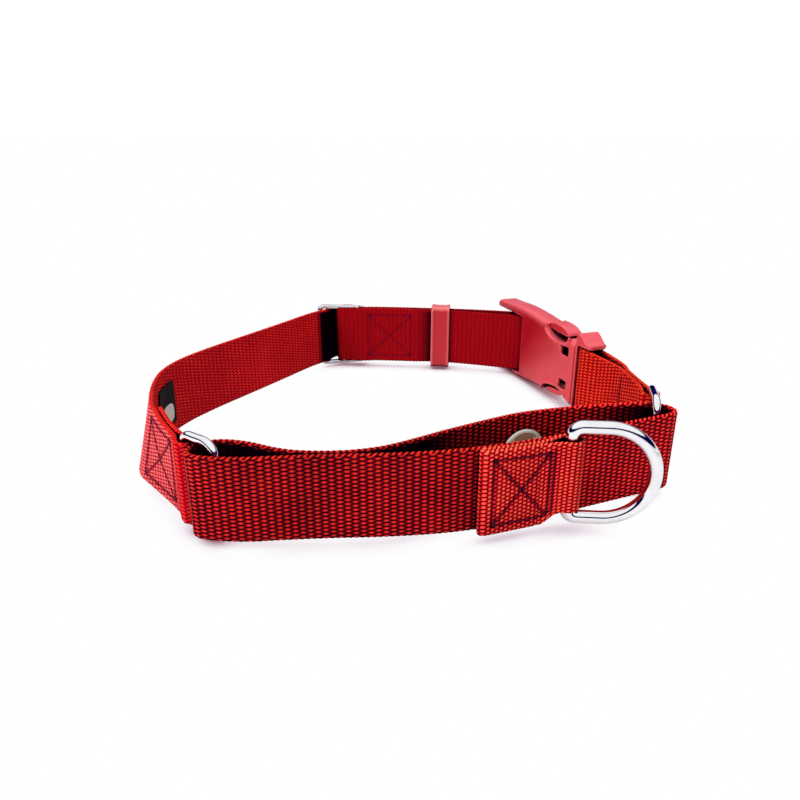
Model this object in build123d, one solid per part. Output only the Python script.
from build123d import *
import math
import os

# Martingale collar in millimetres, +Z up, standing on its webbing edges. The control loop with
# the leash ring is at the front (-Y), the slider and keeper at the back, the buckle at the right.
# Plan points (x, y) lie on a working grid; SHIFT moves the finished pieces so that the origin is
# the bottom centre of the whole collar. "Outward" is away from the middle of the collar.

SHIFT = (0.86, -244.78, 3.10)

# ---- webbing ----
WEB_W = 25.4            # width, which is its height here
WEB_T = 1.6             # thickness
GAP = 0.12              # air between two layers that lie on each other
LAYER = WEB_T + GAP     # pitch of such layers
HALF_LAYER = LAYER / 2
MID_Z = WEB_W / 2
WRAP_AIR = 0.3          # air between a bar and the webbing round it

# ---- rings: wire diameter, half height and depth are taken on the wire's centre line ----
LEASH_WIRE, LEASH_HALF, LEASH_DEPTH = 3.8, 13.8, 23.4
LEASH_CORNER = 2.9
LEASH_MID_Z = 15.8      # the leash ring stands higher than the webbing's middle
LEASH_ANGLE = -5.0      # plan direction it points
LOOP_WIRE, LOOP_HALF = 2.6, 14.35
LOOP_CORNER, LOOP_SHOULDER = 2.4, 4.6
LEFT_DEPTH, RIGHT_DEPTH = 12.4, 14.5

# ---- plan points ----
LEFT_BAR = (-59.05, 174.0)      # bar of the left loop ring
LEFT_AIM = (-48.9, 166.8)       # point that ring is turned towards
RIGHT_BAR = (80.6, 210.5)
RIGHT_AIM = (78.0, 196.6)
LEASH_BAR = (46.8, 172.85)
SLIDER_LEFT = (-37.6, 318.9)    # centres of the slider's two end bars
SLIDER_RIGHT = (-16.4, 325.1)
KEEPER_CENTRE = (19.0, 317.95)
KEEPER_DIR = (0.9930, -0.1180)
MOUTH = (71.75, 261.55)         # centre of the buckle mouth
BUCKLE_DIR = (0.31, -0.9507)    # from the housing's strap end to the mouth
BUCKLE_OUT = (-BUCKLE_DIR[1], BUCKLE_DIR[0])

# ---- slider and keeper ----
SLIDER_BAR_R = 1.3
SLIDER_RAIL = 1.55      # rail height
SLIDER_REACH = 1.9      # reach beyond each webbing edge
SLIDER_INSET = 0.4      # bar ends inside the rails
KEEPER_L = 8.4          # length along the strap
KEEPER_HALF = 4.35      # half thickness across the strap
KEEPER_WALL = 1.5
KEEPER_REACH = 1.9
KEEPER_FILLET = 0.7

# ---- buckle ----
HOUSING_HALF = 5.0      # half thickness of the housing
HOUSING_L = 45.0        # closed housing, from the webbing slot to the mouth
HOUSING_TAIL = 20.5     # open strap end of the housing
CAVITY_HALF = 3.3
CUT_OVER = 1.0          # reach of cutters beyond the housing
EDGE_AIR = 0.35         # air beyond each webbing edge
CROSS_BAR_R = 2.4
MALE_BAR_U = 6.6        # male strap bar, distance beyond the mouth
MALE_BAR_R = 2.0
BAR_REACH = 1.5         # reach of both strap bars beyond each webbing edge
MALE_INNER, MALE_OUTER = -3.9, 4.4
MALE_Z = (-3.1, 28.9)
MALE_TRIM = 2.2         # the cross plate ends this far inside MALE_Z
WING_Z = 30.6           # top of the male half's upper finger wing
HINGE_U, HINGE_Z = -1.6, 20.2
PRONG_HALF = 2.5
KNUCKLE_R, SOCKET_R = 1.45, 1.5
POST_HALF = 2.4

# ---- sewing and labels ----
THREAD_H = 0.35         # height above the webbing's face
THREAD_W = 0.5
THREAD_AIR = 0.02
STITCH_Z = (3.0, 22.4)
WOVEN_T, WOVEN_AIR = 0.6, 0.05
WOVEN_Z = (2.2, 23.0)
ROUND_R, ROUND_T = 7.7, 0.5
ROUND_DIR = (0.372, -0.928)
ROUND_FOOT = (35.7, 193.05)     # on the control loop's rear run
ROUND_LIFT = 2.0


# ---- plan curve helpers ----
def spline(points, step, closed=False):
    """Points about step apart on a uniform Catmull-Rom curve through the given points."""
    def beyond(end, before):
        return (2 * end[0] - before[0], 2 * end[1] - before[1])

    if closed:
        padded = [points[-1]] + points + points[:2]
    else:
        padded = [beyond(points[0], points[1])] + points + [beyond(points[-1], points[-2])]
    out = []
    for prev, start, end, after in zip(padded, padded[1:], padded[2:], padded[3:]):
        count = max(1, int(round(math.dist(start, end) / step)))
        for j in range(count):
            t = j / count
            out.append(tuple(
                0.5 * (2 * start[a] + (end[a] - prev[a]) * t
                       + (2 * prev[a] - 5 * start[a] + 4 * end[a] - after[a]) * t * t
                       + (3 * start[a] - prev[a] - 3 * end[a] + after[a]) * t ** 3)
                for a in (0, 1)))
    if not closed:
        out.append(tuple(points[-1]))
    return out


def normals(points, closed=False):
    """Unit normals to the left of travel."""
    first, last = (points[-1], points[0]) if closed else (points[0], points[-1])
    padded = [first] + points + [last]
    out = []
    for before, after in zip(padded, padded[2:]):
        length = math.dist(before, after) or 1.0
        out.append((-(after[1] - before[1]) / length, (after[0] - before[0]) / length))
    return out


def shifted(points, sides, dist):
    return [(p[0] + n[0] * dist, p[1] + n[1] * dist) for p, n in zip(points, sides)]


def offset_line(points, dist, closed=False):
    """Each point moved to the left of travel by dist."""
    return shifted(points, normals(points, closed), dist)


def line_length(points):
    return sum(math.dist(p, q) for p, q in zip(points, points[1:]))


def along(points, dist):
    """Plan point and unit tangent at a distance from the line's start."""
    for a, b in zip(points, points[1:]):
        length = math.dist(a, b)
        if dist <= length or b is points[-1]:
            share = dist / length
            point = (a[0] + (b[0] - a[0]) * share, a[1] + (b[1] - a[1]) * share)
            return point, ((b[0] - a[0]) / length, (b[1] - a[1]) / length)
        dist -= length


def dist_at(points, test):
    """Distance along the line to the first point that passes the test."""
    walked = 0.0
    for p, q in zip(points, points[1:]):
        if test(p):
            return walked
        walked += math.dist(p, q)
    return walked


def arc(centre, radius, start, end, steps):
    """Plan arc points, angles in degrees."""
    angles = [math.radians(start + (end - start) * i / steps) for i in range(steps + 1)]
    return [(centre[0] + radius * math.cos(a), centre[1] + radius * math.sin(a)) for a in angles]


def heading(start, end):
    return math.degrees(math.atan2(end[1] - start[1], end[0] - start[0]))


def unit(start, end):
    length = math.dist(start, end)
    return ((end[0] - start[0]) / length, (end[1] - start[1]) / length)


def plan_frame(origin, direction, side=1):
    """A function placing points by (distance along direction, distance to its side);
    side is 1 for the left of the direction and -1 for the right."""
    across = (-direction[1] * side, direction[0] * side)

    def place(ahead, off=0.0):
        return (origin[0] + direction[0] * ahead + across[0] * off,
                origin[1] + direction[1] * ahead + across[1] * off)
    return place


def wrap_radius(bar_radius, air=WRAP_AIR):
    """Centre line radius of webbing wrapped round a bar."""
    return bar_radius + air + WEB_T / 2


# ---- solid helpers ----
def prism(outline, z0, z1):
    """A vertical prism on a closed plan outline, near-repeated points dropped."""
    points = []
    for p in outline:
        if not points or math.dist(p, points[-1]) > 0.02:
            points.append(p)
    if math.dist(points[0], points[-1]) < 0.02:
        points.pop()
    face = make_face(Polyline(*points, close=True))
    return extrude(face, amount=z1 - z0, dir=(0, 0, 1)).translate((0, 0, z0))


def band(points, sides, z0=0.0, z1=WEB_W, thick=WEB_T):
    """Webbing on edge along a centre line whose normals are given."""
    left = shifted(points, sides, thick / 2)
    right = shifted(points, sides, -thick / 2)
    return prism(left + right[::-1], z0, z1)


def ribbon(points, z0=0.0, z1=WEB_W, thick=WEB_T):
    return band(points, normals(points), z0, z1, thick)


def upright_bar(point, radius, z0, z1):
    bar = Cylinder(radius, z1 - z0, align=(Align.CENTER, Align.CENTER, Align.MIN))
    return bar.translate((point[0], point[1], z0))


# ---- rings ----
def bent_ring(bar, angle, wire, half, depth, corner, shoulder, mid_z=MID_Z):
    """A bent-wire ring standing upright: a vertical bar, level runs, and a bow with rounded
    shoulders, pointing along angle in plan. shoulder equal to half gives a D."""
    path = Line((0, 0), (0, half - corner)) \
        + RadiusArc((0, half - corner), (corner, half), corner) \
        + Line((corner, half), (depth - shoulder, half)) \
        + RadiusArc((depth - shoulder, half), (depth, half - shoulder), shoulder)
    if half - shoulder > 0.01:
        path = path + Line((depth, half - shoulder), (depth, 0))
    section = Plane(origin=(0, 0, 0), x_dir=(1, 0, 0), z_dir=(0, 1, 0)) * Circle(wire / 2)
    half_ring = sweep(section, path=path)
    ring = half_ring + mirror(half_ring, about=Plane.XZ)
    # drawn with its bar along Y: stand it up, then turn it in plan
    ring = Rot(0, 0, angle) * (Rot(90, 0, 0) * ring)
    return ring.translate((bar[0], bar[1], mid_z))


def leash_ring():
    return bent_ring(LEASH_BAR, LEASH_ANGLE, LEASH_WIRE, LEASH_HALF, LEASH_DEPTH,
                     LEASH_CORNER, LEASH_HALF, LEASH_MID_Z)


def loop_ring(bar, aim, depth):
    return bent_ring(bar, heading(bar, aim), LOOP_WIRE, LOOP_HALF, depth,
                     LOOP_CORNER, LOOP_SHOULDER)


# ---- control loop: one closed band through both loop rings, anticlockwise plan points ----
FRONT_RUN = [
    (-53.2, 163.9), (-46, 162.9), (-39, 162.9), (-33, 163.5), (-20, 164.5), (-7, 165.1),
    (3, 165.9), (13, 167.3), (22, 169.4), (34, 173.2), (46, 177.6), (57, 182.3),
    (68, 187.0), (76, 190.4)]
RIGHT_FOLD = [(80.6, 192.4), (83.0, 195.0), (82.4, 198.3), (79.3, 200.6)]
REAR_RUN = [
    (74, 201.3), (66, 200.2), (56, 198.6), (46, 196.4), (36, 193.2), (28, 189.2),
    (20, 184.6), (12, 179.8), (4, 174.6), (-4, 170.0), (-12, 167.5), (-20, 166.7),
    (-28, 167.2), (-34, 169.0), (-41, 172.3), (-46.5, 173.8), (-51, 173.7)]
LEFT_FOLD = [(-54.9, 171.9), (-56.7, 168.8), (-56.0, 165.8)]


def control_loop():
    line = spline(FRONT_RUN + RIGHT_FOLD + REAR_RUN + LEFT_FOLD, 1.6, closed=True)
    outer = prism(offset_line(line, -WEB_T / 2, closed=True), 0, WEB_W)
    inner = prism(offset_line(line, WEB_T / 2, closed=True), -1, WEB_W + 1)
    return outer - inner


# ---- leash ring patch: folded round the ring's bar, both layers on the loop's front face ----
PATCH_X = (21.8, 44.4)          # extent of the layer next to the loop
PATCH_FRONT_END_X = 38.6        # right end of the front layer
PATCH_WRAP_AIR = 0.25
# (x, z) outline cut from the patch's lower edge, above the ring's lower run
PATCH_CUT = [(37.0, -1.0), (37.0, 0.4), (43.6, 4.7), (60.0, 4.7), (60.0, -1.0)]

patch_base = [p for p in spline(FRONT_RUN, 2.0) if PATCH_X[0] <= p[0] <= PATCH_X[1]]
patch_front = offset_line([p for p in patch_base if p[0] <= PATCH_FRONT_END_X], -2 * LAYER)


def ring_patch():
    rear_layer = offset_line(patch_base, -LAYER)
    travel = heading(rear_layer[-2], rear_layer[-1])
    fold = arc(LEASH_BAR, wrap_radius(LEASH_WIRE / 2, PATCH_WRAP_AIR),
               travel + 82, travel - 120, 14)
    patch = ribbon(rear_layer + fold + patch_front[::-1])
    cut_plane = Plane(origin=(0, 150, 0), x_dir=(1, 0, 0), z_dir=(0, -1, 0))
    cut_face = cut_plane * make_face(Polyline(*PATCH_CUT, close=True))
    return patch - extrude(cut_face, amount=50, dir=(0, 1, 0))


# ---- long strap, ring end: folded round the left ring's bar and laid back on itself ----
LEFT_ZONE_START = (-83.0, 203.6)        # the doubled zone runs straight from here to the bar
left_heading = heading(LEFT_ZONE_START, LEFT_BAR)
# (distance back from the ring's bar, distance outward)
at_left_end = plan_frame(LEFT_BAR, unit(LEFT_BAR, LEFT_ZONE_START))


def strap_left_eye():
    outer_run = [(-84.6, 221.3), (-84.75, 216.5), (-84.6, 212.0), (-84.0, 208.0)] + [
        at_left_end(back, off) for back, off in (
            (34.5, HALF_LAYER + 0.2), (30.5, HALF_LAYER), (20, HALF_LAYER),
            (10, HALF_LAYER), (5.0, 1.15), (2.2, 2.0))]
    inner_run = [at_left_end(back, off) for back, off in (
        (2.2, -2.0), (5.0, -1.15), (10, -HALF_LAYER), (20, -HALF_LAYER), (30.5, -HALF_LAYER))]
    fold = arc(LEFT_BAR, wrap_radius(LOOP_WIRE / 2), left_heading - 90, left_heading + 90, 12)
    return ribbon(spline(outer_run, 2.0) + fold + spline(inner_run, 2.5))


# ---- long strap: through the slider, round the housing's cross bar and back to the slider ----
at_buckle = plan_frame(MOUTH, BUCKLE_DIR)       # (distance towards the mouth, outward)
at_slider = plan_frame(SLIDER_LEFT, unit(SLIDER_LEFT, SLIDER_RIGHT))    # (from left bar, outward)
slider_len = math.dist(SLIDER_LEFT, SLIDER_RIGHT)
slider_mid = slider_len / 2

LEFT_RUN = [
    (-84.5, 222.9), (-84.0, 230), (-82.4, 238.5), (-79.6, 246.5), (-75.3, 254.8),
    (-71.0, 262.2), (-66.2, 269.8), (-61.3, 277.6), (-56.3, 285.6), (-51.1, 294.0),
    (-45.8, 302.8), (-41.0, 310.4)]
# (distance from the slider's left bar, distance outward)
SLIDER_PASS = [
    (0.9, -2.75), (2.9, -1.6), (4.6, 0.7), (6.6, 3.1), (8.8, 4.2), (slider_mid, 4.4),
    (13.3, 4.3), (15.8, 3.1), (18.3, -0.1), (20.4, -2.3), (22.6, -2.95)]
SLIDER_TO_BAR = [(19.2, -6.2), (16.2, -4.9), (13.4, -3.2)]
BAR_TO_TAIL = [(12.8, 2.0), (14.6, 0.7), (16.3, -1.6), (18.2, -3.6)]
REAR_OUTER = [
    (-9.5, 322.3), (-2, 321.7), (6, 320.9), (14, 320.0), (24, 318.8), (34, 317.2),
    (44, 315.3), (51, 313.6)]
REAR_INNER = [(50, 307.2), (43, 309.6), (34, 312.6), (24, 315.4), (15, 317.1)]
CROSS_BAR = at_buckle(-HOUSING_L - 4.4, 0.3)
TAIL_END_X = 6.0        # right end of the doubled-back tail
INNER_OFFSET = -2 * LAYER - 0.06
TAIL_OFFSET = -LAYER - 0.03


def slider_points(table):
    return [at_slider(ahead, off) for ahead, off in table]


outer_part = spline(LEFT_RUN + slider_points(SLIDER_PASS) + REAR_OUTER, 2.0)
cross_fold = arc(CROSS_BAR, wrap_radius(CROSS_BAR_R), 76, -112, 16)

# beside the slider the outer layer carries the tail, and the inner layer lies inside that
near_slider = [p for p in outer_part if -13.2 <= p[0] <= 8.5 and p[1] > 318]
inner_layer = offset_line(near_slider, INNER_OFFSET)[::-1]
tail_layer = offset_line([p for p in near_slider if p[0] <= TAIL_END_X], TAIL_OFFSET)
slider_heading = heading(SLIDER_LEFT, SLIDER_RIGHT)
mid_fold = arc(at_slider(slider_mid), wrap_radius(SLIDER_BAR_R),
               slider_heading - 90, slider_heading - 270, 14)
to_bar = [inner_layer[-1]] + slider_points(SLIDER_TO_BAR) + [mid_fold[0]]
to_tail = [mid_fold[-1]] + slider_points(BAR_TO_TAIL) + [tail_layer[0]]
inner_part = spline([cross_fold[-1]] + REAR_INNER + [inner_layer[0]], 2.2)[1:] \
    + inner_layer[1:] + spline(to_bar, 1.6)[1:-1] + mid_fold \
    + spline(to_tail, 1.6)[1:] + tail_layer[1:]


def cut_line(points, dists, gap=0.16):
    """Cuts a centre line into runs a small gap apart, each with the whole line's normals."""
    targets = sorted(v for d in dists for v in (d - gap / 2, d + gap / 2))
    full, marks, walked = [], [], 0.0
    for p, q in zip(points, points[1:]):
        length = math.dist(p, q)
        full.append(p)
        while len(marks) < len(targets) and targets[len(marks)] < walked + length:
            share = (targets[len(marks)] - walked) / length
            full.append((p[0] + (q[0] - p[0]) * share, p[1] + (q[1] - p[1]) * share))
            marks.append(len(full) - 1)
        walked += length
    full.append(points[-1])
    sides = normals(full)
    starts = [0] + marks[1::2]
    ends = marks[0::2] + [len(full) - 1]
    return [(full[i:j + 1], sides[i:j + 1]) for i, j in zip(starts, ends)]


def thinned_band(points, sides):
    """Webbing along a cut run, leaving out points that crowd each other."""
    keep = [0]
    for i in range(1, len(points) - 1):
        if min(math.dist(points[i], points[keep[-1]]), math.dist(points[i], points[-1])) > 0.6:
            keep.append(i)
    keep.append(len(points) - 1)
    return band([points[i] for i in keep], [sides[i] for i in keep])


def long_strap():
    """The five consecutive pieces of the long strap beyond its ring end."""
    whole = outer_part + cross_fold[1:] + inner_part
    inner_start = line_length(whole) - line_length(inner_part)
    cuts = [
        line_length(spline(LEFT_RUN, 2.0)) - 6.0,                       # before the slider
        dist_at(outer_part, lambda p: p[0] > -1.0 and p[1] > 318),      # outer, after it
        line_length(outer_part) + line_length(cross_fold) + 3.0,        # inner side of the bar
        inner_start + dist_at(inner_part, lambda p: p[0] < 9.0)]        # inner, at the slider
    names = ("strap_left", "strap_slider_bend", "strap_rear_outer", "strap_rear_inner",
             "strap_slider_end")
    return {name: thinned_band(*run) for name, run in zip(names, cut_line(whole, cuts))}


# ---- slider: a flat three-bar loop ----
def slider():
    z0, z1 = -SLIDER_REACH, WEB_W + SLIDER_REACH
    left, right = -SLIDER_BAR_R, slider_len + SLIDER_BAR_R
    outline = slider_points([(left, -SLIDER_BAR_R), (right, -SLIDER_BAR_R),
                             (right, SLIDER_BAR_R), (left, SLIDER_BAR_R)])
    body = prism(outline, z1 - SLIDER_RAIL, z1) + prism(outline, z0, z0 + SLIDER_RAIL)
    for place in (0.0, slider_mid, slider_len):
        body = body + upright_bar(at_slider(place), SLIDER_BAR_R,
                                  z0 + SLIDER_INSET, z1 - SLIDER_INSET)
    return body


# ---- strap keeper: a band round both layers ----
def strap_keeper():
    at_keeper = plan_frame(KEEPER_CENTRE, KEEPER_DIR)

    def block(half_length, inset):
        half = KEEPER_HALF - inset
        corners = [at_keeper(-half_length, -half), at_keeper(half_length, -half),
                   at_keeper(half_length, half), at_keeper(-half_length, half)]
        return prism(corners, -KEEPER_REACH + inset, WEB_W + KEEPER_REACH - inset)

    def nearness(edge):
        """Least for the edges farthest from the keeper's centre plane."""
        centre = edge.center()
        return -abs((centre.X - KEEPER_CENTRE[0]) * -KEEPER_DIR[1]
                    + (centre.Y - KEEPER_CENTRE[1]) * KEEPER_DIR[0])

    keeper = block(KEEPER_L / 2, 0.0) - block(KEEPER_L, KEEPER_WALL)
    outer_edges = keeper.edges().filter_by(Axis.Z).sort_by(nearness)[:4]
    return fillet(outer_edges, KEEPER_FILLET)


# ---- buckle: u runs towards the mouth and beyond it, w outward, z up ----
def buckle_box(u0, u1, w0, w1, z0, z1):
    corners = [at_buckle(u, w) for u, w in ((u0, w0), (u1, w0), (u1, w1), (u0, w1))]
    return prism(corners, z0, z1)


def buckle_plate(outline, w0, w1):
    """A plate with a (u, z) outline, from w0 to w1."""
    plane = Plane(origin=(*at_buckle(0, w0), 0), x_dir=(*BUCKLE_DIR, 0),
                  z_dir=(-BUCKLE_OUT[0], -BUCKLE_OUT[1], 0))
    face = plane * make_face(Polyline(*outline, close=True))
    return extrude(face, amount=w1 - w0, dir=(*BUCKLE_OUT, 0))


def hinge_pin(z, radius, length):
    """A cylinder through a prong's hinge, along w."""
    plane = Plane(origin=(*at_buckle(HINGE_U), z), z_dir=(*BUCKLE_OUT, 0))
    return plane * Cylinder(radius, length)


STRAP_END_U = -HOUSING_L - HOUSING_TAIL
# (u, z) side view of the housing
HOUSING_OUTLINE = [
    (STRAP_END_U, -1.6), (STRAP_END_U + 2, -2.6), (-HOUSING_L, -2.6), (-30, -3.1),
    (-10, -3.1), (-5, -2.4), (-1.2, -0.9), (0, -0.2),
    (0, 26.0), (-1.2, 26.7), (-5, 27.8), (-10, 28.5), (-30, 28.5), (-HOUSING_L, 28.6),
    (STRAP_END_U + 2, 28.4), (STRAP_END_U, 27.2)]
# (u, z) upper finger wing of the male half
WING_OUTLINE = [
    (0.5, WEB_W + 2.0), (0.5, WING_Z - 1.0), (1.2, WING_Z), (2.6, WING_Z),
    (6.4, WEB_W + 2.4), (6.4, WEB_W + 2.0)]
# (u, z) upper prong: a springy arm with a press pad that fills the side window
PRONG_OUTLINE = [
    (HINGE_U, 18.9), (HINGE_U, 21.6), (-7.6, 21.9), (-8.4, 24.6), (-9.6, 27.2),
    (-12.5, 28.5), (-17.0, 28.2), (-20.4, 26.0), (-22.4, 22.6), (-22.8, 20.6),
    (-21.8, 19.2), (-12.0, 19.4)]
HINGE_LEVELS = (HINGE_Z, WEB_W - HINGE_Z)


def buckle_female():
    below, above = -HOUSING_HALF - CUT_OVER, HOUSING_HALF + CUT_OVER
    cutters = [
        # cavity behind the mouth
        (-26, 1, -CAVITY_HALF, CAVITY_HALF, 2.0, 23.4),
        # side windows, open through the edges and the inner face
        (-23.5, -7.0, below, CAVITY_HALF, 22.0, 32.0),
        (-23.5, -7.0, below, CAVITY_HALF, -6.0, 3.4),
        # two small holes in the inner face beside the mouth
        (-7.4, -3.0, below, -3.0, 18.2, 22.2),
        (-7.4, -3.0, below, -3.0, 4.6, 8.6),
        # open strap end
        (STRAP_END_U - 1, -HOUSING_L, below, above, -EDGE_AIR, WEB_W + EDGE_AIR)]
    shell = buckle_plate(HOUSING_OUTLINE, -HOUSING_HALF, HOUSING_HALF)
    for limits in cutters:
        shell = shell - buckle_box(*limits)
    return shell + upright_bar(CROSS_BAR, CROSS_BAR_R, -BAR_REACH, WEB_W + BAR_REACH)


def buckle_male():
    # cross plate, then the cheeks above and below the webbing
    body = buckle_box(0.5, 2.4, -3.7, 4.2, MALE_Z[0] + MALE_TRIM, MALE_Z[1] - MALE_TRIM)
    for z0, z1 in ((WEB_W + EDGE_AIR, WEB_W + 2.4), (-2.4, -EDGE_AIR)):
        body = body + buckle_box(0.5, 9.4, MALE_INNER, MALE_OUTER, z0, z1)
    body = body + buckle_plate(WING_OUTLINE, MALE_INNER, MALE_OUTER)
    body = body + upright_bar(at_buckle(MALE_BAR_U), MALE_BAR_R, -BAR_REACH, WEB_W + BAR_REACH)
    # middle guide
    body = body + buckle_box(-19.5, 1.0, -1.6, 1.6, 10.4, 15.0)
    # a socket post for each prong
    for z in HINGE_LEVELS:
        post = buckle_box(HINGE_U, 1.0, -PRONG_HALF, PRONG_HALF, z - POST_HALF, z + POST_HALF)
        body = body + (post - hinge_pin(z, SOCKET_R, 12.0))
    return body


def prong(outline, hinge_z):
    arm = buckle_plate(outline, -PRONG_HALF, PRONG_HALF)
    return arm + hinge_pin(hinge_z, KNUCKLE_R, 2 * PRONG_HALF)


def lower_prong():
    """The upper prong mirrored about the webbing's mid height."""
    return prong([(u, WEB_W - z) for u, z in PRONG_OUTLINE[::-1]], HINGE_LEVELS[1])


# ---- short strap: one band round the male half's bar and the right ring's bar ----
RIGHT_ZONE_START = at_buckle(22)
right_heading = heading(RIGHT_ZONE_START, RIGHT_BAR)
# (distance back from the ring's bar, distance outward)
at_right_end = plan_frame(RIGHT_BAR, unit(RIGHT_BAR, RIGHT_ZONE_START), side=-1)


def strap_short():
    def zone_points(*table):
        return [at_right_end(back, off) for back, off in table]

    out_angle = heading((0, 0), BUCKLE_OUT)
    beyond_bar = MALE_BAR_U + 3.9
    # from the inner side, round the side away from the mouth, to the outer side
    male_fold = arc(at_buckle(MALE_BAR_U), wrap_radius(MALE_BAR_R),
                    out_angle - 180, out_angle - 360, 14)
    ring_fold = arc(RIGHT_BAR, wrap_radius(LOOP_WIRE / 2),
                    right_heading + 90, right_heading - 90, 12)
    start_run = zone_points((20.6, -HALF_LAYER), (24.0, -HALF_LAYER),
                            (28.5, -HALF_LAYER - 0.9)) \
        + [at_buckle(beyond_bar, -2.9), male_fold[0]]
    outer_run = [male_fold[-1], at_buckle(beyond_bar, 2.9)] \
        + zone_points((28.0, HALF_LAYER + 0.7), (22.0, HALF_LAYER), (12.0, HALF_LAYER),
                      (5.0, 1.15), (2.2, 2.05))
    end_run = zone_points((2.2, -2.05), (5.0, -1.15), (12.0, -HALF_LAYER), (20.4, -HALF_LAYER))
    return ribbon(spline(start_run, 2.0)[:-1] + male_fold + spline(outer_run, 2.2)[1:]
                  + ring_fold + spline(end_run, 2.2))


# ---- sewing: raised thread lines on the webbing's faces ----
# off is the signed distance from a layer's centre line to the sewn face, positive to the left.
def beside(spot, off, ahead=0.0):
    """A point off to the left of a (point, tangent) pair, and ahead along its tangent."""
    point, tangent = spot
    return plan_frame(point, tangent)(ahead, off)


def thread_faces(off):
    return (off + math.copysign(THREAD_AIR, off),
            off + math.copysign(THREAD_AIR + THREAD_H, off))


def thread_run(line, off, start, end, z_start, z_end):
    """A thread along a strap, climbing in short steps from z_start to z_end."""
    foot, crest = thread_faces(off)
    steps = max(2, int((end - start) / 1.5))
    spots = [along(line, start + (end - start) * i / steps) for i in range(steps + 1)]
    levels = [z_start + (z_end - z_start) * i / steps for i in range(steps + 1)]
    made = None
    for a, b, za, zb in zip(spots, spots[1:], levels, levels[1:]):
        outline = [beside(a, foot), beside(b, foot), beside(b, crest), beside(a, crest)]
        piece = prism(outline, min(za, zb) - THREAD_W / 2, max(za, zb) + THREAD_W / 2)
        made = piece if made is None else made + piece
    return made


def thread_post(line, off, dist, z0, z1):
    """An upright thread across the strap."""
    foot, crest = thread_faces(off)
    spot = along(line, dist)
    half = THREAD_W / 2
    outline = [beside(spot, foot, -half), beside(spot, foot, half),
               beside(spot, crest, half), beside(spot, crest, -half)]
    return prism(outline, z0, z1)


def box_stitch(line, off, start, end):
    """A sewn rectangle with its diagonals."""
    z0, z1 = STITCH_Z
    sewn = thread_run(line, off, start, end, z0, z0) + thread_run(line, off, start, end, z1, z1)
    sewn = sewn + thread_post(line, off, start, z0, z1) + thread_post(line, off, end, z0, z1)
    return sewn + thread_run(line, off, start, end, z0, z1) \
        + thread_run(line, off, start, end, z1, z0)


def thread_ring_end():
    line = [at_left_end(31, HALF_LAYER), at_left_end(9, HALF_LAYER)]
    return box_stitch(line, -(WEB_T / 2 + 0.1), 0.5, 20.5)


def thread_ring_patch():
    return box_stitch(patch_front, -WEB_T / 2, 2.6, line_length(patch_front) - 1.6)


def thread_short_strap():
    line = [at_right_end(21.5, HALF_LAYER), at_right_end(7.5, HALF_LAYER)]
    return box_stitch(line, WEB_T / 2 + 0.22, 0.5, 13.0)


def thread_slider_end():
    sewn = [p for p in near_slider if -10.5 <= p[0] <= TAIL_END_X]
    return box_stitch(offset_line(sewn, INNER_OFFSET), -WEB_T / 2, 0.5, 15.0)


# ---- labels ----
def label_woven():
    """A strip on the inner face of the long strap's left run."""
    line = [p for p in spline(LEFT_RUN, 1.5) if 226.0 <= p[1] <= 241.0]
    off = -(WEB_T / 2 + WOVEN_AIR + WOVEN_T / 2)
    return ribbon(offset_line(line, off), *WOVEN_Z, WOVEN_T)


def label_round():
    """A disc on the front face of the control loop's rear run."""
    x, y = (foot + step * ROUND_LIFT for foot, step in zip(ROUND_FOOT, ROUND_DIR))
    return Plane(origin=(x, y, 13.2), z_dir=(*ROUND_DIR, 0)) * Cylinder(ROUND_R, ROUND_T)


# ---- write one file per piece ----
pieces = {
    "control_loop": control_loop(),
    "ring_patch": ring_patch(),
    "d_ring": leash_ring(),
    "ring_left": loop_ring(LEFT_BAR, LEFT_AIM, LEFT_DEPTH),
    "ring_right": loop_ring(RIGHT_BAR, RIGHT_AIM, RIGHT_DEPTH),
    "strap_left_eye": strap_left_eye(),
    **long_strap(),
    "slider": slider(),
    "strap_keeper": strap_keeper(),
    "buckle_female": buckle_female(),
    "buckle_male": buckle_male(),
    "prong_upper": prong(PRONG_OUTLINE, HINGE_Z),
    "prong_lower": lower_prong(),
    "strap_short": strap_short(),
    "thread_ring_end": thread_ring_end(),
    "thread_ring_patch": thread_ring_patch(),
    "thread_short_strap": thread_short_strap(),
    "thread_slider_end": thread_slider_end(),
    "label_woven": label_woven(),
    "label_round": label_round(),
}

os.makedirs("parts", exist_ok=True)
for name, shape in pieces.items():
    solids = shape.translate(SHIFT).solids()
    out = solids[0] if len(solids) == 1 else Compound(children=list(solids))
    out.label = name
    export_step(out, f"parts/{name}.step")
